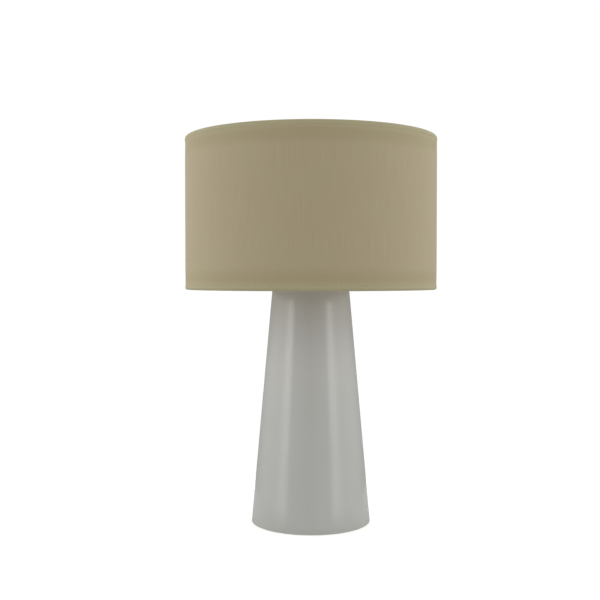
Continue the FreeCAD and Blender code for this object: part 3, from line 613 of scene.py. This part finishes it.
def make_cloth(material):
    """The drum's cloth: one strip laid round the liner, its folded end lapped over its start."""
    low, high = SHADE_BOTTOM + CLOTH_EDGE, SHADE_TOP - CLOTH_EDGE
    heights = np.linspace(low, high, 56)
    vertices, rows = [], []
    for turn in stations():
        angle = SEAM_START + turn
        out = direction(angle)
        ends_in = (TURN - turn) * SHADE_RADIUS
        folded = CLOTH_THICKNESS * (1 - smoothstep(ends_in, 7 * MM, 8.5 * MM))
        inner = LINER_RADIUS + 0.05 * MM + lap(turn, CLOTH_THICKNESS)
        row = []
        for side in (0, 1):
            levels = heights if side == 0 else heights[::-1]
            for z in levels:
                slack = 0.5 + 0.5 * math.sin(math.pi * (z - low) / (high - low))
                ripple = waviness(angle, RIPPLES, 0.06 * MM) * slack
                from_edge = min(z - low, high - z)
                belly = 0.3 * MM * smoothstep(from_edge, 8 * MM, 34 * MM)
                radius = inner + max(ripple, 0.0) + belly
                if side == 0:
                    radius += CLOTH_THICKNESS + folded
                    if ends_in < 0.3 * MM:
                        radius -= 0.15 * MM  # rounds off the folded end
                row.append(len(vertices))
                vertices.append(out * radius + Vector((0, 0, z)))
        rows.append(row)
    cloth = new_piece("shade_cloth", vertices, skin(rows), material, "shade")
    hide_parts("shade_fabric")
    return cloth


def hem_path(flap):
    """The hem's section as (point, outward) pairs, from its outer lower end over the edge to its flap.

    A point is (radius, depth), where depth is measured from the shade's edge into the shade.
    """
    outer = SHADE_RADIUS - HEM_THICKNESS - 0.02 * MM
    inner = HEM_INSIDE - 0.6 * MM
    corner = HEM_CORNER
    edge = HEM_THICKNESS
    straight = edge + corner
    quarter = [math.radians(90 * i / 6) for i in range(1, 6)]
    path = [((outer, d), (1, 0)) for d in np.linspace(HEM_HEIGHT, straight, HEM_STEPS)]
    for a in quarter:
        point = (outer - corner + corner * math.cos(a), straight - corner * math.sin(a))
        path.append((point, (math.cos(a), -math.sin(a))))
    path += [((r, edge), (0, -1)) for r in np.linspace(outer - corner, inner + corner, 4)]
    for a in quarter:
        point = (inner + corner - corner * math.sin(a), straight - corner * math.cos(a))
        path.append((point, (-math.sin(a), -math.cos(a))))
    flap_end = max(flap, straight + 0.3 * MM)
    path += [((inner, d), (-1, 0)) for d in np.linspace(straight, flap_end, HEM_STEPS)]
    return path


def flap_depth(angle):
    """How far the hem's flap reaches down inside: snipped to a notch at each spider arm."""
    nearest = min(
        abs(math.remainder(angle - math.radians(arm) - math.pi / 2, 2 * math.pi)) for arm in ARM_ANGLES
    )
    whole = smoothstep(nearest * SHADE_RADIUS, 1.9 * MM, 4.6 * MM)
    return HEM_NOTCH + (HEM_FLAP - HEM_NOTCH) * whole


def make_hem(name, node, edge, inward, material, snipped):
    """A strip of the cloth rolled over one hoop, with its folded end lapped at the back."""
    vertices, rows = [], []
    for turn in stations():
        angle = SEAM_START + turn
        out = direction(angle)
        flap = flap_depth(angle) if snipped else HEM_FLAP
        flap += waviness(angle, HEM_RIPPLES, 0.25 * MM)
        from_back = abs(math.remainder(angle - math.pi, 2 * math.pi)) * SHADE_RADIUS
        over_seam = smoothstep(SEAM_OVERLAP * 1.3 - from_back, 0, SEAM_OVERLAP * 0.5)
        stand_off = lap(turn, HEM_THICKNESS) + CLOTH_THICKNESS * over_seam
        path = hem_path(flap)
        row = []
        for layer in (1, 0):
            points = path if layer == 1 else path[::-1]
            for i, ((radius, depth), (nr, nd)) in enumerate(points):
                step = i if layer == 1 else len(points) - 1 - i
                lip, puff = 0, 0
                if step < HEM_STEPS:  # on the face outside, which thins to its lip and puffs a little
                    lip = smoothstep(depth, HEM_HEIGHT - 0.9 * MM, HEM_HEIGHT)
                    puff = 0.12 * MM * math.sin(math.pi * min(depth / HEM_HEIGHT, 1.0))
                    puff += waviness(angle, HEM_RIPPLES, 0.05 * MM)
                thickness = HEM_THICKNESS * (1 - 0.8 * lip)
                lift = stand_off + max(puff, 0) + layer * thickness
                r = radius + nr * lift
                d = depth + nd * lift
                row.append(len(vertices))
                vertices.append(out * r + Vector((0, 0, edge + inward * d)))
        rows.append(row)
    faces = skin(rows)
    if inward > 0:
        faces = [tuple(reversed(f)) for f in faces]
    hem = new_piece(name, vertices, faces, material, "shade")
    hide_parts(node)
    return hem


def make_felt(material):
    """The felt disc: pressed flat under the foot, with a soft cut edge."""
    low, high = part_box("felt_pad")
    radius = (high.x - low.x) / 2
    thick = high.z - low.z
    segments = 180
    profile = [(0.0, 0.0), (0.3, 0.0), (0.6, 0.0), (0.85, 0.0), (0.96, 0.0), (0.988, 0.02), (0.997, 0.14)]
    profile += [(1.0, 0.35), (1.0, 0.65), (0.998, 0.86), (0.99, 0.98), (0.96, 1.0), (0.6, 1.0), (0.0, 1.0)]
    edge = rng.normal(0, 0.12 * MM, (len(profile), segments))
    vertices, rows = [], []
    for i, (r, h) in enumerate(profile):
        if r == 0.0:
            rows.append([len(vertices)] * segments)
            vertices.append(Vector((0, 0, low.z + thick * h)))
            continue
        row = []
        for k in range(segments):
            a = 2 * math.pi * k / segments
            rough = edge[i, k] if r > 0.99 else 0.0
            row.append(len(vertices))
            reach = radius * r - abs(rough)
            vertices.append(Vector((math.cos(a) * reach, math.sin(a) * reach, low.z + thick * h)))
        rows.append(row)
    faces = []
    for a, b in zip(rows[:-1], rows[1:]):
        for i in range(segments):
            j = (i + 1) % segments
            face = []
            for v in (b[i], b[j], a[j], a[i]):
                if v not in face:
                    face.append(v)
            faces.append(tuple(face))
    felt = new_piece("felt_disc", vertices, faces, material, "base")
    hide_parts("felt_pad")
    return felt


def build():
    """Everything, in order: the studio, the materials, then the soft pieces."""
    bpy.context.scene.view_settings.view_transform = "Standard"
    make_camera()
    make_world()
    make_floor()
    materials = make_materials()
    dress_nodes(materials)
    cloth = make_cloth(materials["cloth"])
    top = make_hem("hem_top", "shade_top_hem", SHADE_TOP, -1, materials["cloth"], True)
    bottom = make_hem("hem_bottom", "shade_bottom_hem", SHADE_BOTTOM, 1, materials["cloth"], False)
    make_felt(materials["felt"])


build()
